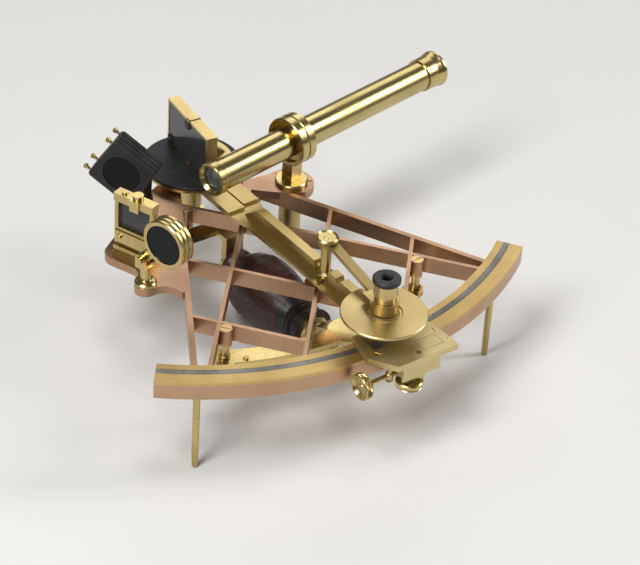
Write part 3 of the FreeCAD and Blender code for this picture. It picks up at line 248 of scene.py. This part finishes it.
def glass(name, tint, roughness, transmission=0.0, gloss=0.5, coat=0.3):
    """Polished glass with faint wipe marks and dust."""
    made = Nodes(name)
    dust = made.spread(made.noise(made.coords(), DUST, 2.0, 0.6), 0.66, 0.8)
    wiped = made.noise(made.coords(scale=(30, 220, 220), turn=(0.3, 0.5, 0.8)), 1.0, 4.0, 0.7)
    colour = made.mix(made.spread(dust, 0.0, 1.0, 0.0, 0.2), tint, lighter(tint, 1.0, 0.12))
    rough = made.sum(made.spread(wiped, 0.35, 0.75, roughness, roughness + 0.05),
                     made.spread(dust, 0.0, 1.0, 0.0, 0.1))
    return made.surface(colour, rough, wiped, 0.002, IOR=1.5, Transmission_Weight=transmission,
                        Specular_IOR_Level=gloss, Coat_Weight=coat, Coat_Roughness=0.05)


def wood(name, skew, ebony_from):
    """Dark close-grained hardwood, oiled, with its grain along the handle and an end of ebony.

    The handle runs level from the index axis towards -Y, turned by skew towards +X. Ebony_from is
    the distance along it where the ebony starts.
    """
    made = Nodes(name)
    turn = (0, 0, -heading(Vector((math.sin(skew), -math.cos(skew)))))
    figure = made.noise(made.coords(scale=(45, 620, 620), turn=turn), 1.0, 5.0, 0.62)
    cloud = made.noise(made.coords(scale=(14, 60, 60), turn=turn), 1.0, 3.0)
    fibre = made.noise(made.coords(scale=(160, 3200, 3200), turn=turn), 1.0, 2.0, 0.6)
    pores = made.spread(fibre, 0.6, 0.72)
    colour = made.mix(made.spread(cloud, 0.35, 0.65), (0.075, 0.025, 0.018), (0.04, 0.0145, 0.012))
    colour = made.mix(made.spread(figure, 0.42, 0.62), colour, (0.018, 0.007, 0.006))
    reach = made.add("ShaderNodeSeparateXYZ", Vector=made.coords(turn=turn)).outputs[0]
    ebony = made.spread(reach, ebony_from - 0.0008, ebony_from)
    colour = made.mix(ebony, colour, (0.011, 0.0095, 0.009))
    colour = made.mix(made.spread(pores, 0.0, 1.0, 0.0, 0.7), colour, (0.008, 0.004, 0.003))
    rough = made.sum(made.spread(figure, 0.3, 0.7, 0.34, 0.46), made.spread(pores, 0.0, 1.0, 0.0, 0.2))
    height = made.sum(figure, made.spread(pores, 0.0, 1.0, 0.0, -0.8))
    return made.surface(colour, rough, height, 0.12, Specular_IOR_Level=0.4, Coat_Weight=0.12,
                        Coat_Roughness=0.25)


def paint(name, colour, rubbed, roughness):
    """Black bronzing or horn: rubbed through along the edges, with scratches and dust."""
    made = Nodes(name)
    plain = made.coords()
    clouds = made.spread(made.noise(plain, CLOUDS, 5.0, 0.65), 0.35, 0.7)
    flecks = made.spread(made.noise(plain, FLECKS, 2.0, 0.6), 0.66, 0.78)
    scored = made.noise(made.coords(scale=(40, 1500, 300), turn=(0.2, 0.1, 0.9)), 1.0, 2.0)
    scratches = made.spread(scored, 0.68, 0.75)
    marks = made.spread(made.sum(flecks, scratches), 0.0, 1.0, 0.0, 0.35)
    shown = made.mix(clouds, colour, lighter(colour, 1.9, 0.006))
    shown = made.mix(marks, shown, lighter(colour, 3.0, 0.02))
    shown = made.mix(made.spread(made.edges(BLACK_WEAR), 0.1, 1.0, 0.0, 0.55), shown, rubbed)
    rough = made.sum(made.spread(clouds, 0.0, 1.0, roughness, roughness + 0.12),
                     made.spread(scratches, 0.0, 1.0, 0.0, 0.15))
    height = made.sum(clouds, made.noise(plain, PITS, 2.0))
    return made.surface(shown, rough, height, 0.05, Specular_IOR_Level=0.32)


# Keys are the record's material slots, and the names that NODE_FINISH and the new pieces use.
materials = {
    "brass": metal("brass_turned", (0.61, 0.485, 0.215), (0.29, 0.205, 0.07), 0.27,
                   lines=(420, 420, 420), line_depth=0.003, stain=0.3),
    "tube": metal("brass_tube", (0.60, 0.49, 0.215), (0.36, 0.275, 0.1), 0.25,
                  lines=(24, 620, 620), turn=(0, 0, -TELESCOPE_ANGLE), line_depth=0.004, stain=0.45),
    "arm": metal("brass_arm", (0.55, 0.425, 0.18), (0.33, 0.235, 0.09), 0.38,
                 lines=(70, 1500, 1500), turn=(0, 0, -ARM_ALONG_ANGLE), stain=0.35),
    "limb_brass": metal("brass_limb", (0.64, 0.46, 0.19), (0.45, 0.305, 0.115), 0.42,
                        rings=1700.0, line_depth=0.05, stain=0.4, streak=0.45),
    "disc": metal("brass_satin_disc", (0.62, 0.485, 0.225), (0.45, 0.33, 0.14), 0.37, rings=2400.0,
                  origin=tuple(node_centre("magnifier_reflector")), line_depth=0.05, stain=0.35,
                  streak=0.4),
    "plate_brass": metal("brass_plate", (0.70, 0.59, 0.31), (0.5, 0.41, 0.2), 0.48,
                         lines=(90, 1600, 1600), turn=(0, 0, -ARM_ACROSS_ANGLE), stain=0.6,
                         streak=0.35),
    "screw": metal("screw_brass", (0.6, 0.43, 0.19), (0.24, 0.15, 0.07), 0.28, lines=(900, 900, 300)),
    "copper": metal("gunmetal_frame", (0.49, 0.31, 0.198), (0.33, 0.185, 0.11), 0.36,
                    lines=(420, 420, 90), stain=0.35),
    "limb_copper": metal("gunmetal_limb", (0.53, 0.345, 0.22), (0.4, 0.23, 0.135), 0.37,
                         rings=2600.0, stain=0.35),
    "silver": metal("silver_strip", (0.3, 0.29, 0.27), (0.1, 0.093, 0.085), 0.42, rings=3600.0,
                    stain=0.7),
    "steel": metal("spindle_steel", (0.5, 0.49, 0.47), (0.2, 0.19, 0.18), 0.3,
                   lines=(200, 200, 3000)),
    "black_brass": paint("bronzed_black", (0.01, 0.01, 0.0105), (0.13, 0.105, 0.06), 0.44),
    "black": paint("black_horn", (0.017, 0.017, 0.017), (0.05, 0.046, 0.042), 0.4),
    "ink": paint("engraved_black", (0.012, 0.011, 0.01), (0.03, 0.03, 0.03), 0.6),
    "wood": wood("dark_hardwood", math.radians(3.4), 0.1035),
    "mirror": glass("old_silvering", (0.04, 0.04, 0.043), 0.12, gloss=0.35, coat=0.1),
    "lens": glass("lens_glass", (0.42, 0.49, 0.47), 0.02, transmission=0.85),
    "shade": glass("shade_glass", (0.004, 0.004, 0.005), 0.08, gloss=0.16, coat=0.0),
}
# Nodes whose finish isn't the plain one of their slot.
NODE_FINISH = {
    "limb": "limb_copper", "limb_overlay": "limb_brass", "index_arm": "arm", "magnifier_arm": "arm",
    "vernier_frame": "plate_brass", "telescope_tube": "tube", "eyepiece_draw_tube": "tube",
    "magnifier_reflector": "disc", "frame_screws": "screw", "index_arm_fittings": "screw",
}
for row in frame["record"]["subparts"]:
    finish = NODE_FINISH.get(row["node"], row["material_slot"])
    for place in NODES[row["node"]].material_slots:
        place.link = "OBJECT"
        place.material = materials[finish]


# ------------------------------------------------------------------ mesh code for the pieces

SHARP_ANGLE = math.radians(32)
# How far a tooth is cut in at each of its four segments, as a share of its depth.
TOOTH = (0, 0.5, 1, 0.5)
# A screw head's driver slot: its half width as a share of the radius, and the height of its bottom
# as a share of the head's.
SLOT_SHARE, SLOT_BOTTOM = 0.16, 0.55
SCREW_SEGMENTS, GRIP_SEGMENTS = 24, 24
# The teeth and the face, as (radius, height) pairs from the centre, of the two large knobs.
KNOB_TEETH = 52
KNOB_FACE = [(0.2, 1.0), (1.6, 1.0), (2.0, 1.5), (4.6, 1.7), (5.0, 1.1), (5.5, 1.1), (6.0, 0.3)]


def add_piece(name, mesh_data, body, material, place=IN_PLACE):
    """Turn a bmesh in millimetres, in the frame given by place, into a piece that rides on a body."""
    bmesh.ops.recalc_face_normals(mesh_data, faces=mesh_data.faces)
    mesh_data.transform(Matrix.Scale(MM, 4))
    mesh_data.transform(place)
    mesh = bpy.data.meshes.new(name)
    mesh_data.to_mesh(mesh)
    mesh_data.free()
    mesh.materials.append(materials[material])
    mesh.shade_smooth()
    mesh.set_sharp_from_angle(angle=SHARP_ANGLE)
    piece = bpy.data.objects.new(name, mesh)
    bpy.context.scene.collection.objects.link(piece)
    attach(piece, body)
    return piece


def loft(mesh_data, rings, place=IN_PLACE):
    """Join rings of equally many points with faces, and cap the first and the last."""
    rows = [[mesh_data.verts.new(place @ Vector(point)) for point in ring] for ring in rings]
    count = len(rows[0])
    for first, second in zip(rows, rows[1:]):
        for k in range(count):
            after = (k + 1) % count
            mesh_data.faces.new((first[k], first[after], second[after], second[k]))
    mesh_data.faces.new(rows[0])
    mesh_data.faces.new(rows[-1])


def turned(mesh_data, profile, segments, place=IN_PLACE):
    """A turned solid about Z, from rows of a radius, a height and, where it is milled, a depth."""
    rings = []
    for radius, height, *depth in profile:
        ring = []
        for k in range(segments):
            reach = radius - (depth[0] * TOOTH[k % len(TOOTH)] if depth else 0)
            angle = k * math.tau / segments
            ring.append((reach * math.cos(angle), reach * math.sin(angle), height))
        rings.append(ring)
    loft(mesh_data, rings, place)


def block(mesh_data, low, high):
    """A box between two corners."""
    loft(mesh_data, [[(low[0], low[1], z), (high[0], low[1], z), (high[0], high[1], z),
                      (low[0], high[1], z)] for z in (low[2], high[2])])


def strip(mesh_data, path, width, thickness):
    """A flat strip bent along a path in the XZ plane, as wide as width along Y."""
    rings = []
    for index, (x, z) in enumerate(path):
        before = Vector(path[max(index - 1, 0)])
        after = Vector(path[min(index + 1, len(path) - 1)])
        run = (after - before).normalized()
        side = Vector((-run.y, run.x)) * thickness
        rings.append([(x, -width / 2, z), (x, width / 2, z), (x + side.x, width / 2, z + side.y),
                      (x + side.x, -width / 2, z + side.y)])
    loft(mesh_data, rings)


def slotted_head(mesh_data, radius, height, place):
    """A cheese-head screw: a low disc with two half discs on it, which leave the driver slot."""
    turned(mesh_data, [(radius, 0), (radius, height * SLOT_BOTTOM)], SCREW_SEGMENTS, place)
    gap = radius * SLOT_SHARE
    start = math.asin(SLOT_SHARE)
    steps = SCREW_SEGMENTS // 2
    for side in (1, -1):
        outline = []
        for k in range(steps + 1):
            angle = start + k * (math.pi - 2 * start) / steps
            outline.append((radius * math.cos(angle), side * radius * math.sin(angle)))
        rings = []
        for level, shrink in ((0.5, 1.0), (0.85, 1.0), (1.0, 0.93)):
            rings.append([(x * shrink, side * gap + (y - side * gap) * shrink, height * level)
                          for x, y in outline])
        loft(mesh_data, rings, place)


def milled_band(name, body, radius, low, high, teeth, place):
    """The milled grip round a knob: fine V-shaped teeth across its edge."""
    inner, bevel, depth = radius - 0.35, 0.25, 0.16
    band = bmesh.new()
    turned(band, [(inner, low, 0), (radius, low + bevel, depth), (radius, high - bevel, depth),
                  (inner, high, 0)], teeth * len(TOOTH))
    add_piece(name, band, body, "brass", place)


def milled_knob(name, node, body, radius, height, rod_radius, rod_end, place):
    """A screw with a turned and milled head at the bottom of its own Z, standing for its CAD node.

    The head has a bead on each side of the milled rim, and a collar where the rod starts.
    """
    rim = [(radius - 0.55, 0.15), (radius - 0.15, 0.6), (radius - 0.45, 0.85), (radius, 1.1, 0.42),
           (radius, height - 1.5, 0.42), (radius - 0.45, height - 1.25), (radius - 0.15, height - 1.0),
           (radius - 0.7, height - 0.5)]
    back = [(radius - 2.2, height - 0.25), (rod_radius + 2.2, height - 0.25),
            (rod_radius + 1.8, height), (rod_radius, height), (rod_radius, rod_end - 0.3),
            (rod_radius - 0.3, rod_end)]
    knob = bmesh.new()
    turned(knob, KNOB_FACE + rim + back, KNOB_TEETH * len(TOOTH))
    piece = add_piece(name, knob, body, "brass", place)
    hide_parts(node)


# ------------------------------------------------------------------ the engraved scales

# Angles on the limb are in degrees of arc from -Y towards +X; a degree of arc reads two degrees.
STRIP_INNER, STRIP_OUTER = 188.8, 192.6
STRIP_BELOW_LIMB = 0.05
SCALE_HALF, SCALE_ZERO = 36.4, 32.0
LINES_PER_DEGREE = 6
LINE_WIDTH, LINE_RISE = 0.09, 0.02
# The lengths of a plain line, a whole degree's and every fifth degree's, and their gap to the edge.
SCALE_LINES, LINE_GAP = (1.0, 1.5, 2.1), 0.1
# The two lines along the arc.
ARC_HALF_WIDTH, ARC_INSET, ARC_STEPS = 0.04, 0.06, 120
FIGURE_SIZE, FIGURE_INSET, FIGURE_HALF_RISE, FIGURE_LIFT = 1.7, 0.85, 0.01, 0.011
# The vernier: its first radius, its middle from the arm's line, its step and its lines on each side.
VERNIER_INNER, VERNIER_TURN, VERNIER_STEP, VERNIER_SIDE = 192.95, -1.75, 0.1195, 23
VERNIER_LINES = (1.5, 2.0, 2.6)
# The border engraved on the vernier plate, in the arm's frame.
BORDER_LOW, BORDER_HIGH, BORDER_LINE = (5.4, -212.6), (19.0, -204.02), 0.18


def polar(radius, angle, height=0.0):
    """A point at a distance from the index axis, in a direction on the limb."""
    turn = math.radians(angle)
    return Vector((radius * math.sin(turn), -radius * math.cos(turn), height))


def radial_line(mesh_data, inner, outer, angle, height):
    """A thin raised line that points at the index axis."""
    run = polar(1.0, angle)
    side = Vector((-run.y, run.x, 0)) * (LINE_WIDTH / 2)
    base = [polar(inner, angle) + side, polar(outer, angle) + side, polar(outer, angle) - side,
            polar(inner, angle) - side]
    loft(mesh_data, [[point + UP * level for point in base] for level in (height, height + LINE_RISE)])


def arc_line(mesh_data, radius, height):
    """A thin line along the whole scale."""
    inner, outer = radius - ARC_HALF_WIDTH, radius + ARC_HALF_WIDTH
    section = ((inner, height), (outer, height), (outer, height + LINE_RISE), (inner, height + LINE_RISE))
    angles = [-SCALE_HALF + k * 2 * SCALE_HALF / ARC_STEPS for k in range(ARC_STEPS + 1)]
    loft(mesh_data, [[polar(reach, angle, level) for reach, level in section] for angle in angles])


def add_figure(mesh_data, text, place):
    """Add the outline of a number in the plain built-in face, centred, a hair thick."""
    curve = bpy.data.curves.new("figure", "FONT")
    curve.body = text
    curve.size = FIGURE_SIZE
    curve.align_x = "CENTER"
    curve.align_y = "CENTER"
    curve.extrude = FIGURE_HALF_RISE
    curve.resolution_u = 2
    holder = bpy.data.objects.new("figure", curve)
    mesh = bpy.data.meshes.new_from_object(holder)
    mesh.transform(place)
    mesh_data.from_mesh(mesh)
    bpy.data.meshes.remove(mesh)
    bpy.data.objects.remove(holder)
    bpy.data.curves.remove(curve)


def is_whole(value):
    return abs(value - round(value)) < 0.001


def make_scale():
    """A line for every third of a degree of reading, with figures every ten degrees."""
    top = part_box("limb_overlay")[1].z / MM - STRIP_BELOW_LIMB
    outer = STRIP_OUTER - LINE_GAP
    marks, figures = bmesh.new(), bmesh.new()
    last = int(SCALE_HALF * LINES_PER_DEGREE)
    for step in range(-last, last + 1):
        angle = step / LINES_PER_DEGREE
        reading = (SCALE_ZERO - angle) * 2
        length = SCALE_LINES[is_whole(reading) + is_whole(reading / 5)]
        radial_line(marks, outer - length, outer, angle, top)
        if is_whole(reading / 10):
            place = Matrix.Translation(polar(STRIP_INNER + FIGURE_INSET, angle, top + FIGURE_LIFT))
            place = place @ Matrix.Rotation(math.radians(angle), 4, "Z")
            add_figure(figures, str(abs(round(reading))), place)
    for radius in (STRIP_INNER + ARC_INSET, outer):
        arc_line(marks, radius, top)
    add_piece("scale_divisions", marks, "frame", "ink")
    add_piece("scale_figures", figures, "frame", "ink")


def make_vernier_lines():
    """The vernier's own lines, a little closer together than the scale's."""
    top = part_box("vernier_scale")[1].z / MM
    lines = bmesh.new()
    for step in range(-VERNIER_SIDE, VERNIER_SIDE + 1):
        length = VERNIER_LINES[is_whole(step / 5) + is_whole(step / 10)]
        angle = math.degrees(ARM_ACROSS_ANGLE) + VERNIER_TURN + step * VERNIER_STEP
        radial_line(lines, VERNIER_INNER, VERNIER_INNER + length, angle, top)
    add_piece("vernier_divisions", lines, "index_arm", "ink")


def make_plate_border():
    """The thin rectangle engraved on the vernier plate."""
    (left, near), (right, far), line = BORDER_LOW, BORDER_HIGH, BORDER_LINE
    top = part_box("vernier_frame")[1].z / MM
    border = bmesh.new()
    for low, high in (((left, near), (right, near + line)), ((left, far - line), (right, far)),
                      ((left, near), (left + line, far)), ((right - line, near), (right, far))):
        block(border, (*low, top), (*high, top + LINE_RISE))
    add_piece("vernier_plate_border", border, "index_arm", "ink", ARM)


# ------------------------------------------------------------------ knobs, bands and screws

# Each knob's radius, the height of its head and the radius of its rod.
CLAMP_KNOB, TANGENT_KNOB = (7.69, 4.6, 1.6), (7.6, 5.4, 1.3)
# Each milled band's radius, its lower and upper edge and its number of teeth.
RAISING_BAND, POST_BAND = (8.16, 1.0, 5.0, 60), (6.46, -1.9, -0.7, 44)
# A square index shade: its side, how far it leans back in degrees, its grips' distance from a corner
# and their profile.
SHADE_SIDE, SHADE_LEAN, GRIP_INSET = 29.6, -32.6, 2.6
SHADE_GRIP = [(0.75, -0.6), (0.75, 1.0), (1.15, 1.2), (1.15, 1.5), (0.7, 1.8), (0.95, 2.1), (1.55, 2.7),
              (1.7, 3.4), (1.45, 4.0), (0.9, 4.4), (0.3, 4.5)]
# The index mirror: the way it faces, in degrees from +X, and its tray's front and back.
MIRROR_FACES, TRAY_FRONT, TRAY_BACK = 175.4, 2.9, -3.7
# The band over the tray: its width, gauge and gap, and how far down it comes in front and behind.
BAND_WIDTH, BAND_GAUGE, BAND_GAP = 3.4, 0.45, 0.15
BAND_FRONT_END, BAND_BACK_END = 4.6, 9.0
# The screws behind the tray: their places across it and above its foot, and their washers.
ADJUSTERS = ((-19.0, 22.0), (19.0, 22.0), (0.0, 24.6))
WASHER, WASHER_TOP, WASHER_SEGMENTS = [(2.5, -0.1), (2.5, 0.5), (2.2, 0.7)], 0.6, 28
# The saddle over the lens post's foot: half of its outline, its width, gauge and screws.
SADDLE_HALF = [(7.4, 0.02), (4.6, 0.02), (4.2, 0.3), (4.2, 2.9), (3.8, 3.3)]
SADDLE_WIDTH, SADDLE_GAUGE, SADDLE_SCREW = 5.2, 0.7, 6.1
ARM_THICKNESS, STRAP_THICKNESS = 1.8, 3.0
# Where the handle's pillars stand, and the screw at the lower strap's end.
PILLARS = ((-63.3, -137.6), (63.3, -137.6), (-23.7, -31.6), (23.7, -31.6))
END_SCREW = (-54.0, -144.6)
# The circle that the socket's screws stand on, and the first one's direction.
SOCKET_SCREW_RADIUS, SOCKET_SCREW_START = 11.2, 100.0
# Each kind of screw head's radius and height.
ADJUSTER_HEAD, SADDLE_HEAD, PILLAR_HEAD = (1.5, 1.1), (1.0, 0.7), (2.7, 1.5)
END_HEAD, SOCKET_HEAD = (1.6, 1.2), (1.3, 0.5)


def screw_at(x, y, z, turn):
    """A frame for a screw head, with its slot turned by an angle in radians.

    Callers turn it by the screw's own x or number, so that no two slots line up.
    """
    return Matrix.Translation((x, y, z)) @ Matrix.Rotation(turn, 4, "Z")


def make_knobs():
    """The clamp and tangent screws in full, and milled edges for the raising screw and the lens post."""
    low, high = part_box("clamp_screw")
    milled_knob("clamp_screw_head", "clamp_screw", "clamp_screw", *CLAMP_KNOB, (high.z - low.z) / MM,
                upright_at("clamp_screw_turn", low.z))
    tangent = along_joint("tangent_screw_turn")
    reaches = [(tangent.inverted() @ vertex.co).z for vertex in NODES["tangent_screw"].data.vertices]
    milled_knob("tangent_screw_head", "tangent_screw", "tangent_screw", *TANGENT_KNOB,
                (max(reaches) - min(reaches)) / MM, tangent @ Matrix.Translation((0, 0, min(reaches))))
    milled_band("raising_screw_milling", "raising_screw", *RAISING_BAND,
                upright_at("raising_screw_turn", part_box("raising_screw")[0].z))
    milled_band("lens_post_milling", "index_arm", *POST_BAND,
                upright_at("magnifier_swing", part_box("magnifier_post")[1].z))


def make_shade_grips():
    """Two small brass grips on the outer edge of the first and the last index shade."""
    axis = Vector(JOINTS["index_shade_turn_1"]["axis"])
    across = Vector((-axis.y, axis.x, 0)).normalized()
    lean = math.radians(SHADE_LEAN)
    outward = -(across * math.cos(lean) + UP * math.sin(lean))
    edgeward = -across * math.sin(lean) + UP * math.cos(lean)
    reach = SHADE_SIDE / 2 - GRIP_INSET
    for number in (1, 4):
        middle = node_centre(f"index_shade_glass_{number}") / MM + outward * (SHADE_SIDE / 2)
        grips = bmesh.new()
        for shift in (reach, -reach):
            place = basis(edgeward, outward.cross(edgeward), outward, middle + edgeward * shift)
            turned(grips, SHADE_GRIP, GRIP_SEGMENTS, place)
        add_piece(f"index_shade_grips_{number}", grips, f"index_shade_{number}", "brass")


def make_mirror_details():
    """The spring band over the index mirror's tray, and the small screws behind the tray."""
    facing = math.radians(MIRROR_FACES)
    normal = Vector((math.cos(facing), math.sin(facing), 0))
    across = UP.cross(normal)
    low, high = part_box("index_mirror_tray")
    top = (high.z - low.z) / MM
    front, back = TRAY_FRONT + BAND_GAP, TRAY_BACK - BAND_GAP
    band = bmesh.new()
    path = [(front, top - BAND_FRONT_END), (front, top - 0.1), (TRAY_FRONT, top + 0.05),
            (TRAY_BACK, top + 0.05), (back, top - 0.1), (back, top - BAND_BACK_END)]
    strip(band, path, BAND_WIDTH, -BAND_GAUGE)
    add_piece("index_mirror_band", band, "index_arm", "brass",
              basis(normal, across, UP, (0, 0, low.z)))
    behind = basis(-across, UP, -normal, UP * (low.z / MM) + normal * (TRAY_BACK - 0.1))
    screws = bmesh.new()
    for x, y in ADJUSTERS:
        turned(screws, WASHER, WASHER_SEGMENTS, behind @ Matrix.Translation((x, y, 0)))
        slotted_head(screws, *ADJUSTER_HEAD, behind @ screw_at(x, y, WASHER_TOP, x))
    add_piece("index_mirror_adjusters", screws, "index_arm", "screw")


def make_post_saddle():
    """A bent strip that holds the lens post's foot down on the arm."""
    post = ARM.inverted() @ Vector(JOINTS["magnifier_swing"]["pos_m"])
    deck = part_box("index_arm")[0].z + ARM_THICKNESS * MM
    saddle = bmesh.new()
    path = [(-x, z) for x, z in SADDLE_HALF] + SADDLE_HALF[::-1]
    strip(saddle, path, SADDLE_WIDTH, SADDLE_GAUGE)
    for x in (-SADDLE_SCREW, SADDLE_SCREW):
        slotted_head(saddle, *SADDLE_HEAD, screw_at(x, 0, SADDLE_GAUGE, x))
    add_piece("lens_post_saddle", saddle, "index_arm", "brass",
              ARM @ Matrix.Translation((0, post.y, deck)))


def make_strap_screws():
    """Slotted screws under the handle's straps, in line with the pillars, and one on the lower strap."""
    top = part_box("handle_upper_bracket")[1].z / MM
    flip = Matrix.Rotation(math.pi, 4, "X")
    screws = bmesh.new()
    for x, y in PILLARS:
        place = Matrix.Translation((x, y, top - STRAP_THICKNESS)) @ flip @ Matrix.Rotation(x, 4, "Z")
        slotted_head(screws, *PILLAR_HEAD, place)
    slotted_head(screws, *END_HEAD, Matrix.Translation((*END_SCREW, top)))
    add_piece("strap_screws", screws, "frame", "screw")


def make_socket_screws():
    """Three small screws that hold the telescope's socket to the frame."""
    x, y, _ = Vector(JOINTS["raising_screw_turn"]["pos_m"]) / MM
    plate_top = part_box("frame_plates")[1].z / MM
    screws = bmesh.new()
    for k in range(3):
        angle = math.radians(SOCKET_SCREW_START + 120 * k)
        place = screw_at(x + SOCKET_SCREW_RADIUS * math.cos(angle),
                         y + SOCKET_SCREW_RADIUS * math.sin(angle), plate_top, k)
        slotted_head(screws, *SOCKET_HEAD, place)
    add_piece("socket_screws", screws, "frame", "screw")


# ------------------------------------------------------------------ stage, light and camera

FLOOR_HALF, FLOOR_DROP = 4.0, -0.0002
LIGHTS_AIM = (0.0, -0.1, 0.06)
WARM_WHITE, WHITE = (1.0, 0.98, 0.95), (1.0, 1.0, 1.0)
# Each light's name, place, width and height, power in watts and colour.
LIGHTS = (
    ("key", (-0.9, -0.4, 1.3), (0.5, 0.9), 20.0, WHITE),
    ("side", (1.4, -0.7, 1.0), (0.4, 0.9), 12.0, WARM_WHITE),
    ("back", (0.85, 1.2, 1.15), (1.7, 0.8), 8.0, WARM_WHITE),
    ("top", (0.1, -0.3, 2.2), (0.7, 0.7), 9.0, WHITE),
)
WORLD_COLOUR, WORLD_STRENGTH = (0.86, 0.87, 0.9, 1.0), 0.1
# The photograph's point of view: a long lens, 36 degrees above the limb, from the left of its middle.
CAMERA_PLACE, CAMERA_TURN = (-0.66817, -1.04745, 0.90180), (0.93452, -0.05883, -0.59926)
CAMERA_LENS, CAMERA_SHIFT, CAMERA_CLIP = 144.54, (-0.0366, 0.00125), (0.05, 20.0)


def make_stage():
    """A plain pale floor, a hair under the feet."""
    outline = bmesh.new()
    half = FLOOR_HALF
    outline.faces.new([outline.verts.new((x, y, FLOOR_DROP)) for x, y in
                       ((-half, -half), (half, -half), (half, half), (-half, half))])
    mesh = bpy.data.meshes.new("floor")
    outline.to_mesh(mesh)
    outline.free()
    floor = bpy.data.objects.new("floor", mesh)
    bpy.context.scene.collection.objects.link(floor)
    made = Nodes("pale_floor")
    tone = made.spread(made.noise(made.coords(), 3.0, 3.0), 0.3, 0.7)
    made.plug(made.shader, "Base Color", made.mix(tone, (0.72, 0.71, 0.69), (0.75, 0.74, 0.72)))
    made.plug(made.shader, "Roughness", 0.85)
    mesh.materials.append(made.material)


def make_lights():
    """Soft studio light from area lights and a faint sky."""
    for name, place, size, power, colour in LIGHTS:
        data = bpy.data.lights.new(name, "AREA")
        data.shape = "RECTANGLE"
        data.size, data.size_y = size
        data.energy = power
        data.color = colour
        lamp = bpy.data.objects.new(name, data)
        lamp.location = place
        lamp.rotation_euler = (Vector(LIGHTS_AIM) - Vector(place)).to_track_quat("-Z", "Y").to_euler()
        bpy.context.scene.collection.objects.link(lamp)
    world = bpy.data.worlds.new("studio")
    world.use_nodes = True
    background = world.node_tree.nodes["Background"]
    background.inputs["Color"].default_value = WORLD_COLOUR
    background.inputs["Strength"].default_value = WORLD_STRENGTH
    bpy.context.scene.world = world
    bpy.context.scene.view_settings.view_transform = "Standard"
    bpy.context.scene.view_settings.look = "None"


def make_camera():
    """The camera that stands where the photograph was taken from."""
    data = bpy.data.cameras.new("camera")
    data.lens = CAMERA_LENS
    data.sensor_width = 36.0
    data.shift_x, data.shift_y = CAMERA_SHIFT
    data.clip_start, data.clip_end = CAMERA_CLIP
    camera = bpy.data.objects.new("camera", data)
    camera.location = CAMERA_PLACE
    camera.rotation_euler = Euler(CAMERA_TURN)
    bpy.context.scene.collection.objects.link(camera)
    bpy.context.scene.camera = camera


make_scale()
make_vernier_lines()
make_plate_border()
make_knobs()
make_shade_grips()
make_mirror_details()
make_post_saddle()
make_strap_screws()
make_socket_screws()
make_stage()
make_lights()
make_camera()
